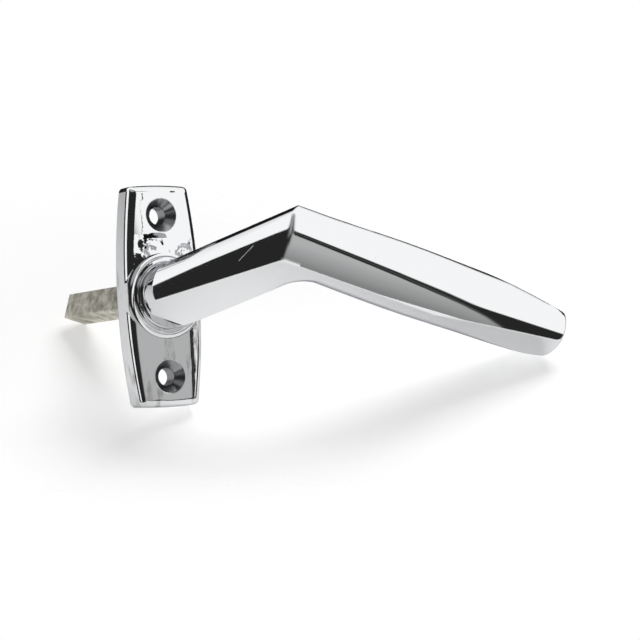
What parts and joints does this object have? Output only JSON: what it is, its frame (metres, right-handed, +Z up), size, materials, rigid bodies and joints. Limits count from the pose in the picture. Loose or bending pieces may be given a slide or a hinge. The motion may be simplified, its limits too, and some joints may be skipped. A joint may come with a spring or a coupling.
{
  "type": "window handle",
  "caption": "Cranked chromed window handle lever on an oblong countersunk screw plate, turning a square spindle.",
  "frame": {"origin": "middle of the plate's back face, on the spindle axis", "axes": "+X to the side the grip points to, +Y into the window along the spindle, +Z up the plate; the room is on -Y"},
  "size_m": [0.1142, 0.0934, 0.0592],
  "materials": {
    "chromed_plate": "bright chrome plate on a hand-polished zinc casting",
    "chromed_lever": "bright chrome plate on a ground and polished zinc casting",
    "spindle_steel": "drawn square steel, dull and stained",
    "pin_steel": "ground steel pin",
    "washer_steel": "zinc-plated stamped steel",
    "ring_steel": "oiled dark spring steel"
  },
  "bodies": {
    "plate": {"plate": "chromed_plate"},
    "lever": {"lever": "chromed_lever", "spindle": "spindle_steel", "spindle_pin": "pin_steel", "thrust_washer": "washer_steel", "retaining_ring": "ring_steel"}
  },
  "joints": [
    {"name": "lever_turn", "type": "hinge", "parent": "plate", "child": "lever", "pos_m": [0, 0, 0], "axis": [0, 1, 0], "range_deg": [-17.7, 72.3]}
  ]
}
